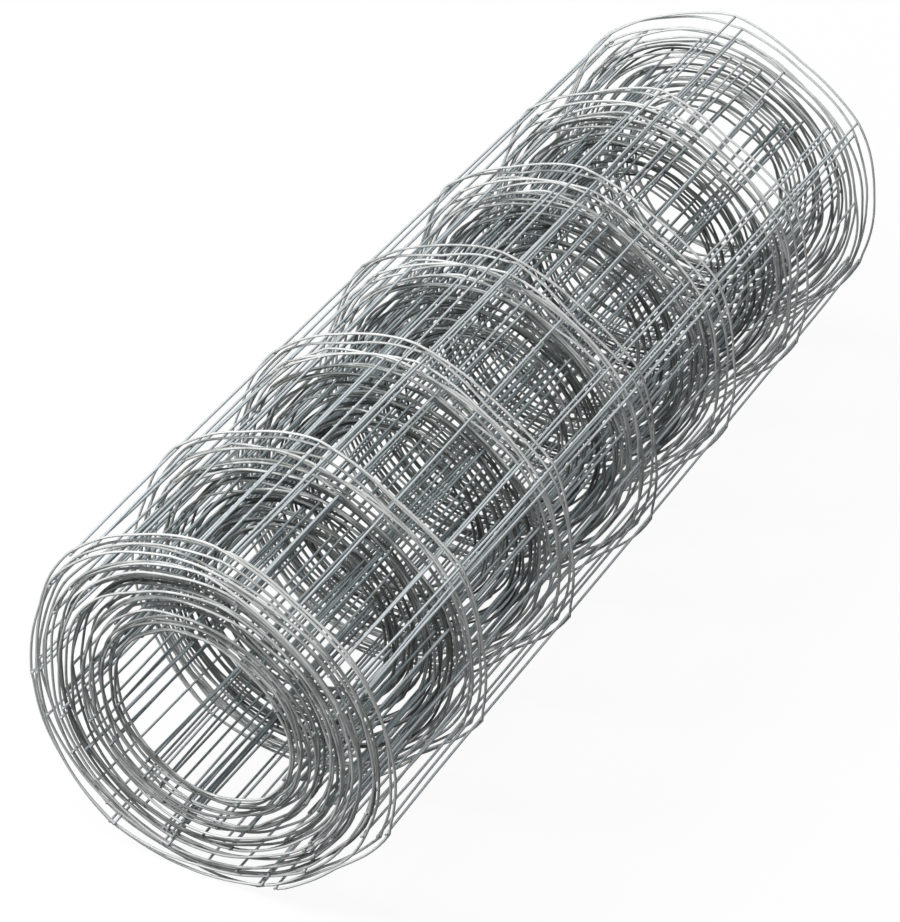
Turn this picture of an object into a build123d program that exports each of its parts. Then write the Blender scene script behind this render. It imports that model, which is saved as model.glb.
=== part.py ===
"""Roll of welded wire fencing, lying on the floor with its axis along X.

The origin is on the floor under the middle of the roll. The rolled sheet is one turned body with
its bore. Each line wire of the outermost turn stands out as a bead around the body, above the stays
that cross it from end to end. The edge line wire shows on both ends as a spiral that winds from the
bore to the outside.
"""

import math
import os

from build123d import *

# The fence as it is sold: wire, mesh opening, height in bays and length of the sheet
wire_diameter = 1.5
mesh_pitch = 100.0
bay_count = 6
fence_length = 14000.0
stay_overhang = 1.2

# The roll that the sheet is wound into, the straight runs that its wire bends into, and the angle
# of the first of its outermost stays from +Y towards +Z
roll_diameter = 236.0
bore_diameter = 96.0
bends_per_turn = 18
first_stay_angle = -8.0

# Sizes that follow from the ones above
roll_radius = roll_diameter / 2
bore_radius = bore_diameter / 2
body_radius = roll_radius - 2 * wire_diameter
line_wire_span = bay_count * mesh_pitch
roll_length = line_wire_span + wire_diameter + 2 * stay_overhang
turn_count = round(fence_length / (math.pi * (roll_radius + bore_radius)))
outer_stay_count = round(math.pi * roll_diameter / mesh_pitch)
turn_pitch = (body_radius - bore_radius - wire_diameter) / (turn_count + 1)
turn_gap = turn_pitch - wire_diameter
end_relief = stay_overhang + wire_diameter

roll_axis = Axis((0, 0, roll_radius), (1, 0, 0))


def spiral_points(start_radius):
    """Give the bends of a spiral around the roll's axis that grows by one pitch in each turn."""
    points = []
    for bend in range(bends_per_turn * turn_count + 1):
        turns = bend / bends_per_turn
        radius = start_radius + turns * turn_pitch
        angle = 2 * math.pi * turns
        points.append((radius * math.cos(angle), roll_radius + radius * math.sin(angle)))
    return points


# The wound sheet, turned from its half section above the axis
with BuildPart() as fence_roll:
    with BuildSketch(Plane.XZ) as half_section:
        with Locations((0, roll_radius + bore_radius)):
            Rectangle(roll_length, body_radius - bore_radius, align=(Align.CENTER, Align.MIN))
        for bay in range(bay_count + 1):
            line_wire_x = bay * mesh_pitch - line_wire_span / 2
            with Locations((line_wire_x, roll_radius + roll_radius)):
                Rectangle(wire_diameter, 3 * wire_diameter, align=(Align.CENTER, Align.MAX))
    revolve(axis=roll_axis)

    # The stays of the outermost turn, which lie inside its line wires
    with BuildSketch(Plane.YZ.offset(-roll_length / 2)) as stay_ends:
        with Locations((0, roll_radius)):
            with PolarLocations(body_radius, outer_stay_count, start_angle=first_stay_angle):
                Rectangle(2 * wire_diameter, wire_diameter)
    extrude(amount=roll_length)

    # The gap between the turns, sunk into both ends so that the edge line wire stands out
    inner_wall = spiral_points(bore_radius + wire_diameter)
    outer_wall = spiral_points(bore_radius + wire_diameter + turn_gap)
    for end in (-1, 1):
        with BuildSketch(Plane.YZ.offset(end * roll_length / 2)) as gap_outline:
            with BuildLine():
                Polyline(*inner_wall, *reversed(outer_wall), close=True)
            make_face()
        extrude(amount=-end * end_relief, mode=Mode.SUBTRACT)

os.makedirs("parts", exist_ok=True)
fence_roll.part.label = "fence_roll"
export_step(fence_roll.part, "parts/fence_roll.step")
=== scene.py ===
"""Looks of the roll of welded wire fencing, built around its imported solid.

The roll lies on the floor with its axis along X. One sheet of mesh is wound from its inner end, in the
bore, to its outer end. Line wires follow the winding, stays cross them from end to end of the roll, and
a small weld joins them at every crossing.
"""

import logging
import math
from dataclasses import dataclass, field
from typing import Mapping, Sequence

import bpy
import numpy as np
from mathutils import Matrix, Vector


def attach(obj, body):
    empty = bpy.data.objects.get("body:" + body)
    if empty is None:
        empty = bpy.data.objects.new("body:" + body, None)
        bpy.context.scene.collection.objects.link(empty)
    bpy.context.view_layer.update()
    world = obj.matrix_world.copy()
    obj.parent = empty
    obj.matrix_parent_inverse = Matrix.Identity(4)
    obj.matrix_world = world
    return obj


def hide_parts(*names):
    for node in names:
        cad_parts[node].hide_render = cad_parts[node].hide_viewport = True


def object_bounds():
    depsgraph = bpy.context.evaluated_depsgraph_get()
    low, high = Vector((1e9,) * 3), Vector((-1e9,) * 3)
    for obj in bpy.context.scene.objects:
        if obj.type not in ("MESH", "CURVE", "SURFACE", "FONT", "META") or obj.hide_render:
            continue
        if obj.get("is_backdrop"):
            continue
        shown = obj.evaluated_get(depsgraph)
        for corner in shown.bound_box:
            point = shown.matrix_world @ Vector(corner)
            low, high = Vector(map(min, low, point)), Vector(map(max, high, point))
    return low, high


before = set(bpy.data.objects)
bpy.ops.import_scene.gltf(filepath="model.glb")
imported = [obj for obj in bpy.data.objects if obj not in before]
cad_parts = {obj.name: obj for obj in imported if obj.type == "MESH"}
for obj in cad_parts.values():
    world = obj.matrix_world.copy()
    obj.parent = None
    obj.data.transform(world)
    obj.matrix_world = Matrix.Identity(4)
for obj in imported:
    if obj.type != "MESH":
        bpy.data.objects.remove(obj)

log = logging.getLogger("fence_roll")
MM = 0.001
NODE = "fence_roll"
BODY = "root"
# The wires' tone attribute, which holds painted light and shade as well as a random tone
TONE_WITH_PAINTED_LIGHT = "wire_tone_with_painted_light"
OUTWARD = "outward"
WIRE_DIAMETER = 1.5 * MM
STAY_OVERHANG = 1.2 * MM

# A station is a place along the roll, from the near edge wire to the far one
NEAR_EDGE = -1.0
MIDDLE = 0.0
FAR_EDGE = 1.0

Colour = tuple[float, float, float]


@dataclass
class Slack:
    """How loosely the turns lie on each other.

    The slack of a turn is the air between it and the next turn inside it, in wire diameters. It is given
    from the outermost turn inwards, once on the upper front of the roll and once on its underside. The
    flanks between them are wound evenly.
    """

    upper_front: Sequence[float] = (
        3.2, 0.5, 2.3, 0.2, 2.7, 0.1, 0.0, 0.2, 0.0, 1.2, 0.5, 1.6, 0.0, 0.2,
        0.0, 0.1, 1.2, 1.2, 0.0, 0.1, 0.2, 3.0, 0.1, 1.6, 0.1, 0.1, 0.1,
    )
    underside: Sequence[float] = (
        0.9, 0.6, 0.3, 0.8, 0.2, 0.7, 0.3, 0.6, 0.2, 0.9, 0.3, 0.6, 0.4, 2.5,
        0.2, 0.3, 0.1, 0.4, 0.2, 0.3, 0.2, 0.3, 1.6, 3.0, 2.0, 0.1, 0.1,
    )
    upper_front_angle: float = math.radians(-30.0)
    flank_share: float = 0.1

    def at(self, from_outside: np.ndarray, angle: np.ndarray) -> np.ndarray:
        """Give the slack along the winding.

        Args:
            from_outside: Turns between each point and the sheet's outer end.
            angle: Each point's angle around the roll's axis.

        Returns:
            The air under each point, in wire diameters.
        """
        middle_of_turn = np.arange(len(self.upper_front)) + 1 / 2
        above = np.interp(from_outside, middle_of_turn, self.upper_front)
        below = np.interp(from_outside, middle_of_turn, self.underside)
        facing = np.cos(angle - self.upper_front_angle)
        mixed = ((1 + facing) * above + (1 - facing) * below) / 2
        return mixed * (self.flank_share + (1 - self.flank_share) * facing**2)


@dataclass
class Outline:
    """An uneven round outline, from radii at chosen angles around the roll's axis.

    Angles are in degrees from straight up towards +Y, and radii in millimetres.
    """

    angles: Sequence[float]
    radii: Sequence[float]

    def at(self, angle: np.ndarray) -> np.ndarray:
        """Give the outline's radius.

        Args:
            angle: Angles in radians, of any turn.

        Returns:
            Radii in metres.
        """
        return np.interp(np.degrees(angle) % 360, self.angles, self.radii, period=360) * MM


@dataclass(frozen=True)
class Ripple:
    """A sum of sine waves along the winding, which may drift from one end of the roll to the other.

    Rates are in radians to the turn, and drifts in radians from the middle of the roll to its end.
    """

    rates: Sequence[float]
    shares: Sequence[float]
    drifts: Sequence[float]

    def at(self, turn: np.ndarray, station: float, phases: Sequence[float]) -> np.ndarray:
        """Give the sum of the waves.

        Args:
            turn: Turns from the sheet's inner end.
            station: Place along the roll.
            phases: Where each wave starts.

        Returns:
            One value for each turn.
        """
        total = np.zeros_like(turn)
        for rate, share, drift, phase in zip(self.rates, self.shares, self.drifts, phases):
            total = total + share * np.sin(rate * turn + phase + drift * station)
        return total


@dataclass
class Winding:
    """The path of the wound sheet, as its line wires follow it.

    Angles are counted around the roll's axis, from straight up towards +Y. The sheet starts at its inner
    end and turns towards smaller angles. Every wire stands out at the stays and dips in the middle of each
    bay.
    """

    wire_diameter: float
    half_span: float

    # The turns, and the wall between bore and rim that they fill
    turns: float = 27.539
    inner_angle: float = math.radians(37.0)
    bore: Outline = field(default_factory=lambda: Outline(
        (0, 60, 105, 150, 195, 240, 285, 330), (48.5, 52.0, 52.0, 51.0, 50.5, 50.5, 48.0, 46.0)))
    rim: Outline = field(default_factory=lambda: Outline(
        (17, 45, 75, 97, 120, 147, 175, 194, 230, 256, 280, 308, 330, 356),
        (110.2, 108.8, 107.0, 109.2, 114.8, 117.4, 114.2, 110.4, 105.8, 108.2, 112.0, 115.0, 112.4, 113.4)))
    slack: Slack = field(default_factory=Slack)
    smooth_waves: int = 7
    steps_per_turn: int = 360

    # The bays, and how the stays of neighbouring turns settle side by side
    outer_bays_per_turn: float = 7.2
    bundling: float = 2.4
    bundled_turns: float = 8.0
    inner_slip: float = 0.2
    slipping_turns: float = 5.0
    samples_per_bay: int = 16

    # The bends of the line wires over the stays
    corner_height: float = 5.5 * MM
    inner_corner_height: float = 2.8 * MM
    corner_reach_turns: float = 3.0
    corner_power: float = 1.25
    corner_spread: float = 0.25
    stiff_edge_share: float = 0.5
    stiff_edge_power: int = 6
    uneven_bay_share: float = 0.4
    uneven_bay_drift: float = 2.7

    # Where the outermost turns stand off or are drawn in
    flare: float = 1.6 * MM
    flare_angle: float = math.radians(-50.0)
    flared_turns: float = 1.0
    pull: float = 2.2 * MM
    pull_angle: float = math.radians(85.0)
    pull_power: int = 2
    pulled_turns: float = 0.7
    push: float = 4.2 * MM
    push_angle: float = math.radians(-96.0)
    push_power: int = 8
    pushed_turns: float = 0.5
    end_tuck: float = 3.0 * MM
    tucked_turns: float = 0.08

    # The unevenness of the turns, with rates of wobble in waves to the turn
    wobble: float = 0.7 * MM
    wobble_rates: Sequence[float] = (0.71, 1.37, 2.63, 4.19, 7.53, 12.7)
    wobble_shares: Sequence[float] = (1.0, 0.8, 0.7, 0.6, 0.45, 0.35)
    wobble_drift: float = 2.2
    kink: float = 0.75 * MM
    kink_drift: float = 1.9
    end_kink_share: float = 2.2
    end_power: int = 8
    sway: float = 1.0 * MM
    sway_ripple: Ripple = Ripple((2.1, 5.3), (1.0, 0.6), (2.6, -4.1))
    skew: float = 4.0 * MM
    skew_rate: float = 2.3
    straight_turns: float = 1.2
    edge_wander: float = 2.52 * MM
    wander_ripple: Ripple = Ripple((1.9, 4.3, 9.1), (1.0, 0.6, 0.5), (0.0, 0.0, 0.0))
    edge_kink: float = 1.9 * MM

    # The tone of the zinc, from dark at 0 to bright at 1: painted light and shade, and a slow random change
    shaded_inner_tone: float = 0.22
    outer_painted_light: float = 0.57
    painted_light_turns: float = 9.0
    near_end_painted_light: float = 0.62
    far_end_painted_light: float = 0.42
    tone_spread: float = 0.16
    tone_ripple: Ripple = Ripple((2.1, 6.7, 17.3), (1.0, 0.7, 0.5), (3.1, 5.3, 7.9))
    seed: int = 7

    def __post_init__(self) -> None:
        """Wind the sheet once, keep its samples and set it down on the floor."""
        turn, radius = self._wind()
        self._sample_bays(turn, radius)
        self._draw_irregularity()
        self.axis_height = 0.0
        lowest = min(self.line(station)[:, 2].min() for station in (NEAR_EDGE, MIDDLE, FAR_EDGE))
        self.axis_height = self.wire_diameter / 2 - lowest

    def _angle(self, turn: np.ndarray) -> np.ndarray:
        """Turn a count of turns from the inner end into an angle around the axis."""
        return self.inner_angle - math.tau * turn

    def _wind(self) -> tuple[np.ndarray, np.ndarray]:
        """Lay each turn on the one inside it, so that they fill the wall between bore and rim.

        Returns:
            The turns from the inner end, and the radius there.
        """
        count = int(math.ceil(self.turns * self.steps_per_turn)) + 1
        turn = np.arange(count) / self.steps_per_turn
        angle = self._angle(turn)
        rise = 1 + self.slack.at(self.turns - turn, angle)
        first = self.steps_per_turn
        stack = np.empty(count)
        stack[:first] = turn[:first] * rise[first]
        for start in range(first, count, first):
            stop = min(start + first, count)
            stack[start:stop] = stack[start - first:stop - first] + rise[start:stop]
        wall = self.rim.at(angle) - self.bore.at(angle)
        last = slice(count - first, count)
        ratio = np.fft.rfft(np.roll(wall[last] / stack[last], (count - first) % first))
        ratio[self.smooth_waves:] = 0
        scale = np.resize(np.fft.irfft(ratio, first), count)
        pitch = rise * scale / MM
        log.info("pitch of the turns %.2f to %.2f mm", pitch.min(), pitch.max())
        return turn, self.bore.at(angle) + stack * scale

    def _sample_bays(self, turn: np.ndarray, radius: np.ndarray) -> None:
        """Divide the path into bays, counted from a stay at the outer end.

        Where a turn holds nearly a whole number of bays, its stays settle beside those of the next turn.

        Args:
            turn: Turns from the inner end.
            radius: Radius at each of them.
        """
        step = np.hypot(np.diff(radius), radius[1:] * math.tau * np.diff(turn))
        along = np.concatenate(([0.0], np.cumsum(step)))
        self.spacing = (along[-1] - along[-1 - self.steps_per_turn]) / self.outer_bays_per_turn
        per_turn = math.tau * radius / self.spacing
        off = per_turn - np.round(per_turn)
        power = 1 + self.bundling * np.exp(-(((self.turns - turn) / self.bundled_turns) ** 2))
        settled = np.round(per_turn) + np.sign(off) * np.abs(2 * off) ** power / 2
        settled = settled + self.inner_slip * np.exp(-((turn / self.slipping_turns) ** 2))
        from_start = np.concatenate(([0.0], np.cumsum(settled[1:] * np.diff(turn))))
        self.bays = int(from_start[-1])
        self.length = self.bays * self.spacing
        count = self.bays * self.samples_per_bay + 1
        place = from_start[-1] - self.bays + np.arange(count) / self.samples_per_bay
        self.turn = np.interp(place, from_start, turn)
        self.radius = np.interp(self.turn, turn, radius)
        self.angle = self._angle(self.turn)
        self.from_outside = self.turns - self.turn

    def _draw_irregularity(self) -> None:
        """Draw the seeded unevenness of corners, turns, edges and tone."""
        rng = np.random.default_rng(self.seed)
        samples = np.arange(len(self.turn))
        self._bay_place = samples / self.samples_per_bay
        bay = samples // self.samples_per_bay
        from_middle = np.abs(2 * (self._bay_place - bay) - 1)
        stays = self.bays + 1
        strength = rng.uniform(1 - self.corner_spread, 1 + self.corner_spread, stays)[bay]
        fade = np.exp(-((self.from_outside / self.corner_reach_turns) ** 2))
        height = self.inner_corner_height + (self.corner_height - self.inner_corner_height) * fade
        self.radius = self.radius + strength * height * self.corner_power / (1 + self.corner_power)
        self._dip = strength * height * (1 - from_middle**self.corner_power)
        starts = [
            (rng.uniform(0, math.tau), rng.uniform(-self.wobble_drift, self.wobble_drift))
            for _ in self.wobble_rates
        ]
        self._wobble_phases, drifts = zip(*starts)
        rates = [math.tau * rate for rate in self.wobble_rates]
        self._wobble_ripple = Ripple(rates, self.wobble_shares, drifts)
        self._bay_phase = rng.uniform(0, math.tau, stays)[bay]
        self._kink_phase = rng.uniform(0, math.tau, stays)
        self._edge_kinks = rng.uniform(-1, 1, stays)
        self._sway_phases = rng.uniform(0, math.tau, len(self.sway_ripple.rates))
        self._edge_phases = rng.uniform(0, math.tau, len(self.wander_ripple.rates))
        self._tone_phases = rng.uniform(0, math.tau, len(self.tone_ripple.rates))
        self._skew_phase = rng.uniform(0, math.tau)

    def line(self, station: float, inset: float = 0.0) -> np.ndarray:
        """Give the path at one place along the roll.

        Args:
            station: Place along the roll.
            inset: Distance towards the axis from the line wires' path.

        Returns:
            Points in metres, from the inner end to the outer end.
        """
        radius = self._uneven_radius(station) - inset
        angle = self.angle + self._sideways(station) / radius
        wander = self.edge_wander * self.wander_ripple.at(self.turn, station, self._edge_phases)
        x = station * self.half_span + wander + self.edge_kink * self._between_stays(self._edge_kinks)
        y = radius * np.sin(angle)
        z = self.axis_height + radius * np.cos(angle)
        return np.stack((x, y, z), axis=1)

    def _uneven_radius(self, station: float) -> np.ndarray:
        """Give the radius with its corners, dips, wobble and kinks.

        Args:
            station: Place along the roll.

        Returns:
            One radius for each sample.
        """
        uneven = 1 + self.uneven_bay_share * np.sin(self._bay_phase + self.uneven_bay_drift * station)
        stiffness = 1 - self.stiff_edge_share * station**self.stiff_edge_power
        wobble = self.wobble * self._wobble_ripple.at(self.turn, station, self._wobble_phases)
        kinks = self._between_stays(np.sin(self._kink_phase + self.kink_drift * station))
        kinks = self.kink * (1 + self.end_kink_share * station**self.end_power) * kinks
        return self.radius - self._dip * uneven * stiffness + wobble + kinks + self._stand_off(station)

    def _stand_off(self, station: float) -> np.ndarray:
        """Give how far the outermost turns stand off from the turns inside them.

        Args:
            station: Place along the roll.

        Returns:
            One distance for each sample, below zero where the turns are drawn in.
        """
        flare = self.flare * station * self._towards(self.flare_angle) * self._near_outside(self.flared_turns)
        pull = self._towards(self.pull_angle) ** self.pull_power * self._near_outside(self.pulled_turns)
        push = self._towards(self.push_angle) ** self.push_power * self._near_outside(self.pushed_turns)
        tuck = self._near_outside(self.tucked_turns)
        return flare - self.pull * pull + self.push * push - self.end_tuck * tuck

    def _towards(self, angle: float) -> np.ndarray:
        """Give 1 where the samples face an angle, falling to 0 a quarter turn away from it."""
        return np.clip(np.cos(self.angle - angle), 0, None)

    def _near_outside(self, reach: float) -> np.ndarray:
        """Give 1 at the sheet's outer end, fading over a reach in turns."""
        return np.exp(-self.from_outside / reach)

    def _sideways(self, station: float) -> np.ndarray:
        """Give how far the stays sway and run askew around the roll.

        Args:
            station: Place along the roll.

        Returns:
            One distance for each sample.
        """
        sway = self.sway_ripple.at(self.turn, station, self._sway_phases)
        askew = np.sin(self.skew_rate * self.turn + self._skew_phase)
        askew = askew * (1 - np.exp(-((self.from_outside / self.straight_turns) ** 2)))
        return self.sway * sway + self.skew * station * askew

    def _between_stays(self, values: np.ndarray) -> np.ndarray:
        """Run straight from each stay's value to the next."""
        return np.interp(self._bay_place, np.arange(len(values)), values)

    def outward(self) -> np.ndarray:
        """Give the direction away from the axis at every sample."""
        return np.stack((np.zeros_like(self.angle), np.sin(self.angle), np.cos(self.angle)), axis=1)

    def tone(self, station: float) -> np.ndarray:
        """Give a line wire's tone: painted light and shade from its place in the roll, and a slow random
        change along it.

        Args:
            station: Place along the roll.

        Returns:
            One value for each sample, between 0 and 1.
        """
        change = self.tone_ripple.at(self.turn, station, self._tone_phases)
        return np.clip(self.painted_light_and_shade(station) + self.tone_spread * change, 0, 1)

    def painted_light_and_shade(self, station: float = MIDDLE) -> np.ndarray:
        """Give the tone's level, which is painted light and shade: brighter on the outer turns and the ends,
        darker inside.

        Args:
            station: Place along the roll.

        Returns:
            One value for each sample.
        """
        outside = np.exp(-((self.from_outside / self.painted_light_turns) ** 2))
        painted_end_light = self.near_end_painted_light if station < MIDDLE else self.far_end_painted_light
        # Painted light on the outer turns and at the ends, over painted shade on the inner turns
        return self.shaded_inner_tone + self.outer_painted_light * np.maximum(outside, painted_end_light * station**self.end_power)


class NodeTree:
    """A node tree that is being put together."""

    def __init__(self, tree: bpy.types.NodeTree) -> None:
        """Keep the tree."""
        self.tree = tree

    def node(
        self, kind: str, inputs: Mapping[str | int, object] | None = None, **settings: object
    ) -> bpy.types.Node:
        """Add a node.

        Args:
            kind: Blender's name of the node type.
            inputs: Plain values by the input's name or number.
            settings: Values of the node's own properties.

        Returns:
            The new node.
        """
        made = self.tree.nodes.new(kind)
        for name, value in settings.items():
            setattr(made, name, value)
        for name, value in (inputs or {}).items():
            made.inputs[name].default_value = value
        return made

    def link(self, source: bpy.types.NodeSocket, target: bpy.types.NodeSocket) -> None:
        """Join two sockets."""
        self.tree.links.new(source, target)


class MaterialTree(NodeTree):
    """The tree of a new material, which reads object coordinates."""

    def __init__(self, name: str) -> None:
        """Make the material.

        Args:
            name: The material's name.
        """
        self.material = bpy.data.materials.new(name)
        self.material.use_nodes = True
        super().__init__(self.material.node_tree)
        self.shader = self.tree.nodes["Principled BSDF"]
        self.place = self.node("ShaderNodeTexCoord").outputs["Object"]

    def noise(self, scale: float, detail: float) -> bpy.types.NodeSocket:
        """Add a noise texture.

        Args:
            scale: Cells to the metre.
            detail: Octaves of the noise.

        Returns:
            The socket that gives the noise.
        """
        made = self.node("ShaderNodeTexNoise", {"Scale": scale, "Detail": detail})
        self.link(self.place, made.inputs["Vector"])
        return made.outputs["Fac"]

    def ramp(
        self, level: bpy.types.NodeSocket, stops: Sequence[tuple[float, Colour]]
    ) -> bpy.types.NodeSocket:
        """Add a colour ramp.

        Args:
            level: The socket that drives the ramp.
            stops: Places on the ramp and their colours, from the first to the last.

        Returns:
            The socket that gives the colour.
        """
        made = self.node("ShaderNodeValToRGB")
        elements = made.color_ramp.elements
        elements[0].position = stops[0][0]
        elements[-1].position = stops[-1][0]
        for position, _ in stops[1:-1]:
            elements.new(position)
        for element, (_, colour) in zip(elements, stops):
            element.color = (*colour, 1)
        self.link(level, made.inputs["Fac"])
        return made.outputs["Color"]


@dataclass(frozen=True)
class WireFinish:
    """Galvanised wire: dull zinc grey with bright and dark streaks along it, spangles, faint staining and
    painted light and shade.
    """

    name: str = "galvanised_wire"
    # The ramp's bright end also paints light and its dull end paints shade, where the tone calls for them
    zinc: Colour = (0.305, 0.323, 0.314)
    bright_zinc_and_painted_light: Colour = (0.745, 0.765, 0.755)
    dull_zinc_and_painted_shade: Colour = (0.085, 0.095, 0.092)
    darkest_level: float = 0.28
    zinc_level: float = 0.72
    brightest_level: float = 1.0
    streak_scale: float = 95.0
    streak_detail: float = 3.0
    streak_share: float = 0.6
    stain: Colour = (0.30, 0.27, 0.22)
    stain_scale: float = 22.0
    stain_detail: float = 4.0
    stain_start: float = 0.60
    stain_end: float = 0.80
    stain_share: float = 0.35
    # Painted shade on the wire's rims, where it turns away from the viewer
    painted_rim_shade: float = 0.4
    rim_start: float = 0.3
    rim_blend: float = 0.5
    metallic: float = 0.06
    sheen: float = 0.15
    spangle_scale: float = 420.0
    smoothest: float = 0.34
    roughest: float = 0.55
    grain_scale: float = 1260.0
    grain_detail: float = 2.0
    grain_strength: float = 0.25
    grain_depth: float = 0.1 * MM

    def build(self) -> bpy.types.Material:
        """Make the node material.

        Returns:
            The finished material.
        """
        tree = MaterialTree(self.name)
        tree.shader.inputs["Metallic"].default_value = self.metallic
        tree.shader.inputs["Specular IOR Level"].default_value = self.sheen
        # The base colour carries painted light and shade from the tone, and painted rim shade
        colour = self._paint_rim_shade(tree, self._stain(tree, self._zinc(tree)))
        tree.link(colour, tree.shader.inputs["Base Color"])

        spangle = tree.node("ShaderNodeTexVoronoi", {"Scale": self.spangle_scale})
        tree.link(tree.place, spangle.inputs["Vector"])
        gloss = tree.node("ShaderNodeMapRange", {"To Min": self.smoothest, "To Max": self.roughest})
        tree.link(spangle.outputs["Color"], gloss.inputs["Value"])
        tree.link(gloss.outputs["Result"], tree.shader.inputs["Roughness"])

        bump = tree.node("ShaderNodeBump", {"Strength": self.grain_strength, "Distance": self.grain_depth})
        tree.link(tree.noise(self.grain_scale, self.grain_detail), bump.inputs["Height"])
        tree.link(bump.outputs["Normal"], tree.shader.inputs["Normal"])
        return tree.material

    def _zinc(self, tree: MaterialTree) -> bpy.types.NodeSocket:
        """Colour the zinc by the wire's tone, which holds painted light and shade, and by streaks.

        Args:
            tree: The material's tree.

        Returns:
            The socket that gives the colour.
        """
        # The tone attribute carries painted light and shade
        tone = tree.node("ShaderNodeAttribute", attribute_name=TONE_WITH_PAINTED_LIGHT)
        blend = tree.node("ShaderNodeMath", {1: self.streak_share}, operation="MULTIPLY_ADD")
        tree.link(tree.noise(self.streak_scale, self.streak_detail), blend.inputs[0])
        tree.link(tone.outputs["Fac"], blend.inputs[2])
        return tree.ramp(blend.outputs[0], (
            (self.darkest_level, self.dull_zinc_and_painted_shade),
            (self.zinc_level, self.zinc),
            (self.brightest_level, self.bright_zinc_and_painted_light),
        ))

    def _stain(self, tree: MaterialTree, colour: bpy.types.NodeSocket) -> bpy.types.NodeSocket:
        """Lay faint stains over the zinc.

        Args:
            tree: The material's tree.
            colour: The zinc's colour.

        Returns:
            The socket that gives the stained colour.
        """
        limits = {"From Min": self.stain_start, "From Max": self.stain_end, "To Max": self.stain_share}
        patch = tree.node("ShaderNodeMapRange", limits)
        stained = tree.node("ShaderNodeMix", data_type="RGBA")
        stained.inputs["B"].default_value = (*self.stain, 1)
        tree.link(tree.noise(self.stain_scale, self.stain_detail), patch.inputs["Value"])
        tree.link(patch.outputs["Result"], stained.inputs["Factor"])
        tree.link(colour, stained.inputs["A"])
        return stained.outputs["Result"]

    def _paint_rim_shade(self, tree: MaterialTree, colour: bpy.types.NodeSocket) -> bpy.types.NodeSocket:
        """Paint shade on the wire where it turns away from the viewer, so that thin wires read as round.

        Args:
            tree: The material's tree.
            colour: The colour of the wire's face.

        Returns:
            The socket that gives the darkened colour.
        """
        turned = tree.node("ShaderNodeLayerWeight", {"Blend": self.rim_blend})
        limits = {"From Min": self.rim_start, "To Min": 1.0, "To Max": self.painted_rim_shade}
        rim = tree.node("ShaderNodeMapRange", limits)
        rim_shaded = tree.node("ShaderNodeMix", data_type="RGBA", blend_type="MULTIPLY")
        rim_shaded.inputs["Factor"].default_value = 1.0
        tree.link(turned.outputs["Facing"], rim.inputs["Value"])
        tree.link(colour, rim_shaded.inputs["A"])
        tree.link(rim.outputs["Result"], rim_shaded.inputs["B"])
        return rim_shaded.outputs["Result"]


@dataclass(frozen=True)
class WeldFinish:
    """The spot where two wires were welded: zinc burnt to a dull dark grey with a brown tinge."""

    name: str = "weld_spot"
    ash: Colour = (0.26, 0.27, 0.265)
    ash_level: float = 0.62
    scorch: Colour = (0.13, 0.115, 0.10)
    scorch_level: float = 0.35
    mottle_scale: float = 260.0
    mottle_detail: float = 3.0
    metallic: float = 0.45
    roughness: float = 0.6

    def build(self) -> bpy.types.Material:
        """Make the node material.

        Returns:
            The finished material.
        """
        tree = MaterialTree(self.name)
        tree.shader.inputs["Metallic"].default_value = self.metallic
        tree.shader.inputs["Roughness"].default_value = self.roughness
        mottle = tree.noise(self.mottle_scale, self.mottle_detail)
        colour = tree.ramp(mottle, ((self.scorch_level, self.scorch), (self.ash_level, self.ash)))
        tree.link(colour, tree.shader.inputs["Base Color"])
        return tree.material


LINE_WIRE_FINISH = WireFinish()
# The stays' ramp also paints light at its bright end and shade at its dull end
STAY_FINISH = WireFinish(
    name="galvanised_stay", zinc=(0.36, 0.415, 0.435), bright_zinc_and_painted_light=(0.68, 0.735, 0.76),
    dull_zinc_and_painted_shade=(0.10, 0.12, 0.127))
WELD_FINISH = WeldFinish()


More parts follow.
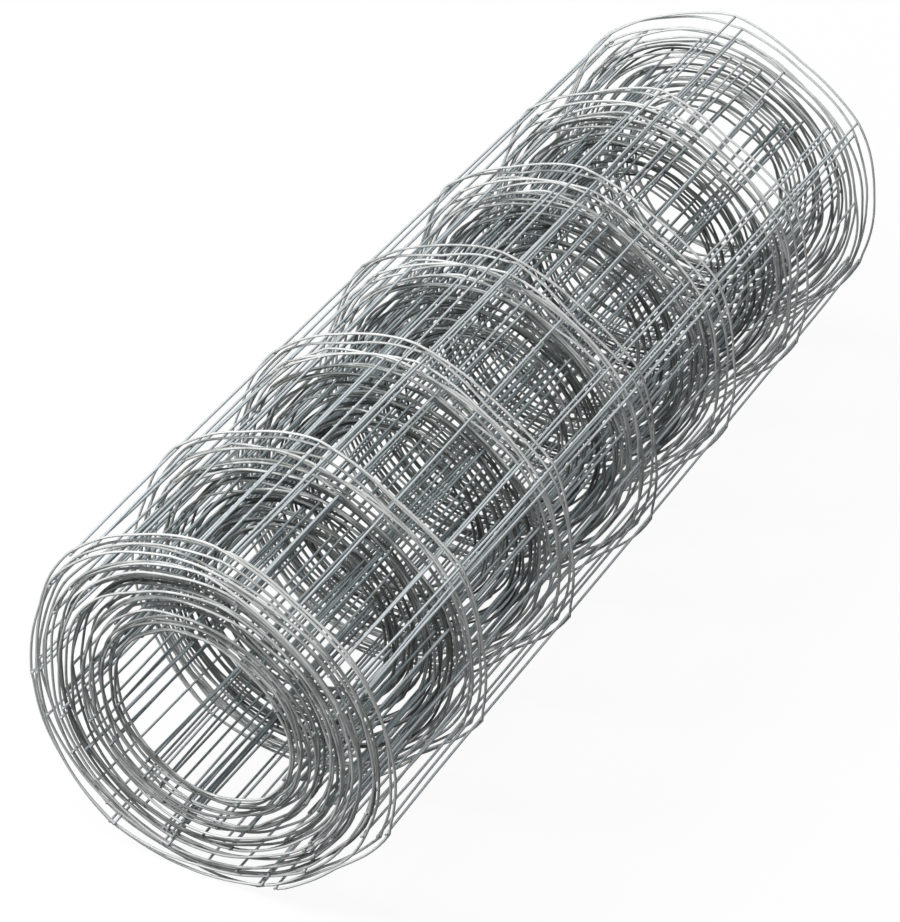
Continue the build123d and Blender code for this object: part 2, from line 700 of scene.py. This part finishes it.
class NodeRecipe(NodeTree):
    """A Geometry Nodes tree with named inputs, run once on a base mesh."""

    def __init__(self, name: str) -> None:
        """Start a tree with one geometry input and one geometry output.

        Args:
            name: The tree's name.
        """
        super().__init__(bpy.data.node_groups.new(name, "GeometryNodeTree"))
        for direction in ("INPUT", "OUTPUT"):
            self.tree.interface.new_socket("Geometry", in_out=direction, socket_type="NodeSocketGeometry")
        self.entry = self.node("NodeGroupInput")
        self.exit = self.node("NodeGroupOutput")
        self.identifiers: dict[str, str] = {}

    def add_input(self, name: str, socket_type: str) -> None:
        """Add a named input to the tree.

        Args:
            name: The input's name.
            socket_type: Blender's name of the socket type.
        """
        item = self.tree.interface.new_socket(name, in_out="INPUT", socket_type=socket_type)
        self.identifiers[name] = item.identifier

    def close(self, geometry: bpy.types.NodeSocket) -> None:
        """End the tree: smooth shading, realized instances and the material.

        Args:
            geometry: The socket that gives the finished geometry.
        """
        smooth = self.node("GeometryNodeSetShadeSmooth")
        realize = self.node("GeometryNodeRealizeInstances")
        dress = self.node("GeometryNodeSetMaterial")
        for step in (smooth, realize, dress):
            self.link(geometry, step.inputs["Geometry"])
            geometry = step.outputs["Geometry"]
        self.link(self.entry.outputs["Material"], dress.inputs["Material"])
        self.link(geometry, self.exit.inputs["Geometry"])

    def run(self, name: str, base: bpy.types.Mesh, values: Mapping[str, object]) -> bpy.types.Object:
        """Run the tree on a mesh and keep the result as a plain mesh object.

        Args:
            name: The finished piece's name.
            base: The mesh that goes in.
            values: A value for each named input.

        Returns:
            The finished piece, linked to the scene.
        """
        carrier = bpy.data.objects.new(name + "_base", base)
        bpy.context.scene.collection.objects.link(carrier)
        modifier = carrier.modifiers.new(self.tree.name, "NODES")
        modifier.node_group = self.tree
        for key, value in values.items():
            modifier[self.identifiers[key]] = value
        shown = carrier.evaluated_get(bpy.context.evaluated_depsgraph_get())
        mesh = bpy.data.meshes.new_from_object(shown)
        bpy.data.objects.remove(carrier)
        bpy.data.meshes.remove(base)
        mesh.name = name
        piece = bpy.data.objects.new(name, mesh)
        bpy.context.scene.collection.objects.link(piece)
        return piece


def polyline_mesh(name: str, lines: Sequence[np.ndarray], tones: Sequence[np.ndarray]) -> bpy.types.Mesh:
    """Make a mesh of loose edges that runs along lines of points.

    Args:
        name: The mesh's name.
        lines: Points of each line.
        tones: The tone at each of those points.

    Returns:
        The mesh, with the tone as a point attribute.
    """
    edges: list[tuple[int, int]] = []
    start = 0
    for line in lines:
        edges.extend((start + i, start + i + 1) for i in range(len(line) - 1))
        start += len(line)
    mesh = bpy.data.meshes.new(name)
    mesh.from_pydata(np.concatenate(lines).tolist(), edges, [])
    attribute = mesh.attributes.new(TONE_WITH_PAINTED_LIGHT, "FLOAT", "POINT")
    attribute.data.foreach_set("value", np.concatenate(tones).astype(np.float32))
    return mesh


def wire_recipe() -> NodeRecipe:
    """Build the tree that sweeps a round wire along every line of a mesh.

    Returns:
        The finished tree.
    """
    recipe = NodeRecipe("round wire")
    recipe.add_input("Wire Radius", "NodeSocketFloat")
    recipe.add_input("Sides", "NodeSocketInt")
    recipe.add_input("Material", "NodeSocketMaterial")
    path = recipe.node("GeometryNodeMeshToCurve")
    section = recipe.node("GeometryNodeCurvePrimitiveCircle")
    sweep = recipe.node("GeometryNodeCurveToMesh", {"Fill Caps": True})
    recipe.link(recipe.entry.outputs["Geometry"], path.inputs["Mesh"])
    recipe.link(recipe.entry.outputs["Wire Radius"], section.inputs["Radius"])
    recipe.link(recipe.entry.outputs["Sides"], section.inputs["Resolution"])
    recipe.link(path.outputs["Curve"], sweep.inputs["Curve"])
    recipe.link(section.outputs["Curve"], sweep.inputs["Profile Curve"])
    recipe.close(sweep.outputs["Mesh"])
    return recipe


def weld_recipe() -> NodeRecipe:
    """Build the tree that sets a flattened weld on every point, facing away from the axis.

    Returns:
        The finished tree.
    """
    recipe = NodeRecipe("weld spots")
    recipe.add_input("Weld Size", "NodeSocketVector")
    recipe.add_input("Segments", "NodeSocketInt")
    recipe.add_input("Rings", "NodeSocketInt")
    recipe.add_input("Smallest", "NodeSocketFloat")
    recipe.add_input("Largest", "NodeSocketFloat")
    recipe.add_input("Seed", "NodeSocketInt")
    recipe.add_input("Material", "NodeSocketMaterial")
    bead = recipe.node("GeometryNodeMeshUVSphere", {"Radius": 1.0})
    press = recipe.node("GeometryNodeTransform")
    facing = recipe.node("GeometryNodeInputNamedAttribute", {"Name": OUTWARD}, data_type="FLOAT_VECTOR")
    turned = recipe.node("FunctionNodeAlignRotationToVector", axis="Z")
    spread = recipe.node("FunctionNodeRandomValue")
    place = recipe.node("GeometryNodeInstanceOnPoints")
    recipe.link(recipe.entry.outputs["Segments"], bead.inputs["Segments"])
    recipe.link(recipe.entry.outputs["Rings"], bead.inputs["Rings"])
    recipe.link(recipe.entry.outputs["Weld Size"], press.inputs["Scale"])
    recipe.link(bead.outputs["Mesh"], press.inputs["Geometry"])
    recipe.link(facing.outputs["Attribute"], turned.inputs["Vector"])
    recipe.link(recipe.entry.outputs["Smallest"], spread.inputs["Min"])
    recipe.link(recipe.entry.outputs["Largest"], spread.inputs["Max"])
    recipe.link(recipe.entry.outputs["Seed"], spread.inputs["Seed"])
    recipe.link(recipe.entry.outputs["Geometry"], place.inputs["Points"])
    recipe.link(press.outputs["Geometry"], place.inputs["Instance"])
    recipe.link(turned.outputs["Rotation"], place.inputs["Rotation"])
    recipe.link(spread.outputs["Value"], place.inputs["Scale"])
    recipe.close(place.outputs["Instances"])
    return recipe


@dataclass
class WireMesh:
    """The wound sheet of welded mesh: its line wires, its stays and the welds at their crossings."""

    winding: Winding
    line_wires: int = 7
    sides: int = 8
    stay_tone_spread: float = 0.3
    weld_depth_share: float = 0.86
    weld_radius_shares: tuple[float, float, float] = (1.25, 1.25, 1.05)
    weld_segments: int = 8
    weld_rings: int = 5
    smallest_weld: float = 0.85
    largest_weld: float = 1.2
    seed: int = 11

    @property
    def wire_radius(self) -> float:
        """Half the wire's diameter."""
        return self.winding.wire_diameter / 2

    @property
    def stay_inset(self) -> float:
        """Distance from a line wire's middle to the middle of the stay inside it."""
        return self.winding.wire_diameter * self.weld_depth_share

    def stations(self) -> np.ndarray:
        """Places of the line wires along the roll."""
        return np.linspace(NEAR_EDGE, FAR_EDGE, self.line_wires)

    def build_line_wires(self) -> list[bpy.types.Object]:
        """Sweep the line wires along the winding.

        Returns:
            One piece for each line wire.
        """
        recipe = wire_recipe()
        values = self._wire_values(LINE_WIRE_FINISH)
        pieces = []
        for number, station in enumerate(self.stations(), start=1):
            base = polyline_mesh("line_path", [self.winding.line(station)], [self.winding.tone(station)])
            pieces.append(recipe.run(f"line_wire_{number}", base, values))
        return pieces

    def build_stays(self) -> bpy.types.Object:
        """Sweep the stays, which pass inside the line wires and end just past the edge wires.

        Returns:
            The stays as one piece.
        """
        winding = self.winding
        every = winding.samples_per_bay
        overhang = FAR_EDGE + (self.wire_radius + STAY_OVERHANG) / winding.half_span
        places = np.linspace(NEAR_EDGE, FAR_EDGE, 2 * self.line_wires - 1)
        places = np.concatenate(([-overhang], places, [overhang]))
        paths = [winding.line(place, self.stay_inset)[::every] for place in places]
        stays = np.stack(paths, axis=1)
        rng = np.random.default_rng(self.seed)
        # The stays' tone is painted light and shade from their turn, plus a random lift for each stay
        level = winding.painted_light_and_shade()[::every] + rng.uniform(0.0, self.stay_tone_spread, len(stays))
        tones = [np.full(len(places), value) for value in np.clip(level, 0, 1)]
        base = polyline_mesh("stay_paths", list(stays), tones)
        return wire_recipe().run("stays", base, self._wire_values(STAY_FINISH))

    def build_welds(self) -> bpy.types.Object:
        """Set a weld between every stay and line wire.

        Returns:
            The welds as one piece.
        """
        winding = self.winding
        every = winding.samples_per_bay
        spots = [winding.line(station, self.stay_inset / 2)[::every] for station in self.stations()]
        outward = np.tile(winding.outward()[::every], (self.line_wires, 1))
        mesh = bpy.data.meshes.new("weld_points")
        mesh.from_pydata(np.concatenate(spots).tolist(), [], [])
        attribute = mesh.attributes.new(OUTWARD, "FLOAT_VECTOR", "POINT")
        attribute.data.foreach_set("vector", outward.astype(np.float32).ravel())
        values = {
            "Weld Size": Vector(self.weld_radius_shares) * self.wire_radius,
            "Segments": self.weld_segments,
            "Rings": self.weld_rings,
            "Smallest": self.smallest_weld,
            "Largest": self.largest_weld,
            "Seed": self.seed,
            "Material": WELD_FINISH.build(),
        }
        return weld_recipe().run("welds", mesh, values)

    def _wire_values(self, finish: WireFinish) -> dict[str, object]:
        """Values of the wire tree's inputs."""
        return {"Wire Radius": self.wire_radius, "Sides": self.sides, "Material": finish.build()}


@dataclass(frozen=True)
class Lamp:
    """A soft square lamp that faces the floor under the roll, with its power in watts."""

    name: str
    place: tuple[float, float, float]
    side: float
    power: float

    def hang(self) -> None:
        """Add the lamp to the scene."""
        data = bpy.data.lights.new(self.name, "AREA")
        data.size = self.side
        data.energy = self.power
        lamp = bpy.data.objects.new(self.name, data)
        lamp.location = self.place
        lamp.rotation_euler = (-Vector(self.place)).to_track_quat("-Z", "Y").to_euler()
        bpy.context.scene.collection.objects.link(lamp)


@dataclass
class Studio:
    """The floor, the soft light, the white surround and the camera."""

    axis_height: float
    azimuth: float = math.radians(-60.9)
    elevation: float = math.radians(36.79)
    distance: float = 2.018
    aim_from_middle: tuple[float, float, float] = (-0.0228, 0.0096, -0.0203)
    lens: float = 136.5
    sensor: float = 36.0
    floor_size: float = 40.0
    floor_glow_share: float = 0.94
    floor_tone: float = 0.86
    floor_bounce: float = 0.1
    world_level: float = 0.035
    lamps: Sequence[Lamp] = (
        Lamp("key", (-1.1, 1.5, 2.0), 0.9, 68.0),
        Lamp("top", (-0.9, -0.2, 2.6), 1.6, 27.0),
        Lamp("back", (2.1, 0.2, 0.6), 1.0, 22.0),
    )

    def build(self) -> None:
        """Make the floor, world, lights and camera."""
        self._floor()
        self._world()
        for lamp in self.lamps:
            lamp.hang()
        self._camera()
        bpy.context.scene.view_settings.view_transform = "Standard"

    def _floor(self) -> None:
        """Lay a pale floor that stays white to the camera and keeps the roll's shadow."""
        half = self.floor_size / 2
        corners = [(-half, -half, 0), (half, -half, 0), (half, half, 0), (-half, half, 0)]
        mesh = bpy.data.meshes.new("floor")
        mesh.from_pydata(corners, [], [range(len(corners))])
        floor = bpy.data.objects.new("floor", mesh)
        bpy.context.scene.collection.objects.link(floor)
        mesh.materials.append(self._floor_material())
        floor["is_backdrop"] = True

    def _floor_material(self) -> bpy.types.Material:
        """Make a floor that glows white in the camera and in reflections, and is duller to other light.

        Returns:
            The finished material.
        """
        material = bpy.data.materials.new("pale_floor")
        material.use_nodes = True
        tree = NodeTree(material.node_tree)
        tree.tree.nodes.clear()
        path = tree.node("ShaderNodeLightPath")
        seen = tree.node("ShaderNodeMath", operation="MAXIMUM")
        shade = tree.node("ShaderNodeMapRange", {"To Min": self.floor_bounce, "To Max": self.floor_tone})
        matte = tree.node("ShaderNodeBsdfDiffuse")
        glow = tree.node("ShaderNodeEmission")
        share = tree.node("ShaderNodeMath", {1: self.floor_glow_share}, operation="MULTIPLY")
        mix = tree.node("ShaderNodeMixShader")
        out = tree.node("ShaderNodeOutputMaterial")
        tree.link(path.outputs["Is Camera Ray"], seen.inputs[0])
        tree.link(path.outputs["Is Glossy Ray"], seen.inputs[1])
        tree.link(seen.outputs[0], shade.inputs["Value"])
        tree.link(shade.outputs["Result"], matte.inputs["Color"])
        tree.link(seen.outputs[0], share.inputs[0])
        tree.link(share.outputs[0], mix.inputs["Fac"])
        tree.link(matte.outputs[0], mix.inputs[1])
        tree.link(glow.outputs[0], mix.inputs[2])
        tree.link(mix.outputs[0], out.inputs["Surface"])
        return material

    def _world(self) -> None:
        """Surround the roll with white for the camera and reflections, and a plain level of light."""
        world = bpy.data.worlds.new("white surround")
        bpy.context.scene.world = world
        world.use_nodes = True
        tree = NodeTree(world.node_tree)
        back = tree.tree.nodes["Background"]
        back.inputs["Color"].default_value = (1, 1, 1, 1)
        path = tree.node("ShaderNodeLightPath")
        mirror = tree.node("ShaderNodeMath", operation="MAXIMUM")
        seen = tree.node("ShaderNodeMath", operation="MAXIMUM")
        level = tree.node("ShaderNodeMapRange", {"To Min": self.world_level, "To Max": 1.0})
        tree.link(path.outputs["Is Glossy Ray"], mirror.inputs[0])
        tree.link(path.outputs["Is Transmission Ray"], mirror.inputs[1])
        tree.link(path.outputs["Is Camera Ray"], seen.inputs[0])
        tree.link(mirror.outputs[0], seen.inputs[1])
        tree.link(seen.outputs[0], level.inputs["Value"])
        tree.link(level.outputs["Result"], back.inputs["Strength"])

    def _camera(self) -> None:
        """Set the camera at the photograph's viewing angle."""
        data = bpy.data.cameras.new("camera")
        data.lens = self.lens
        data.sensor_width = self.sensor
        camera = bpy.data.objects.new("camera", data)
        aim = Vector(self.aim_from_middle) + Vector((0, 0, self.axis_height))
        level = math.cos(self.elevation)
        back = Vector((
            math.sin(self.azimuth) * level, -math.cos(self.azimuth) * level, math.sin(self.elevation)))
        camera.location = aim + back * self.distance
        camera.rotation_euler = (-back).to_track_quat("-Z", "Y").to_euler()
        bpy.context.scene.collection.objects.link(camera)
        bpy.context.scene.camera = camera


def main() -> None:
    """Build the wire mesh and the studio."""
    logging.basicConfig(level=logging.INFO, format="%(name)s: %(message)s")
    cad_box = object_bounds()
    half_length = (cad_box[1].x - cad_box[0].x) / 2
    winding = Winding(WIRE_DIAMETER, half_length - STAY_OVERHANG - WIRE_DIAMETER / 2)
    log.info("sheet of %.2f m with %d bays of %.1f mm, axis %.1f mm up", winding.length, winding.bays,
             winding.spacing / MM, winding.axis_height / MM)
    sheet = WireMesh(winding)
    pieces = [*sheet.build_line_wires(), sheet.build_stays(), sheet.build_welds()]
    for piece in pieces:
        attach(piece, BODY)
        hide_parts(NODE)
        log.info("%s: %d faces", piece.name, len(piece.data.polygons))
    Studio(winding.axis_height).build()


if __name__ == "__main__":
    main()
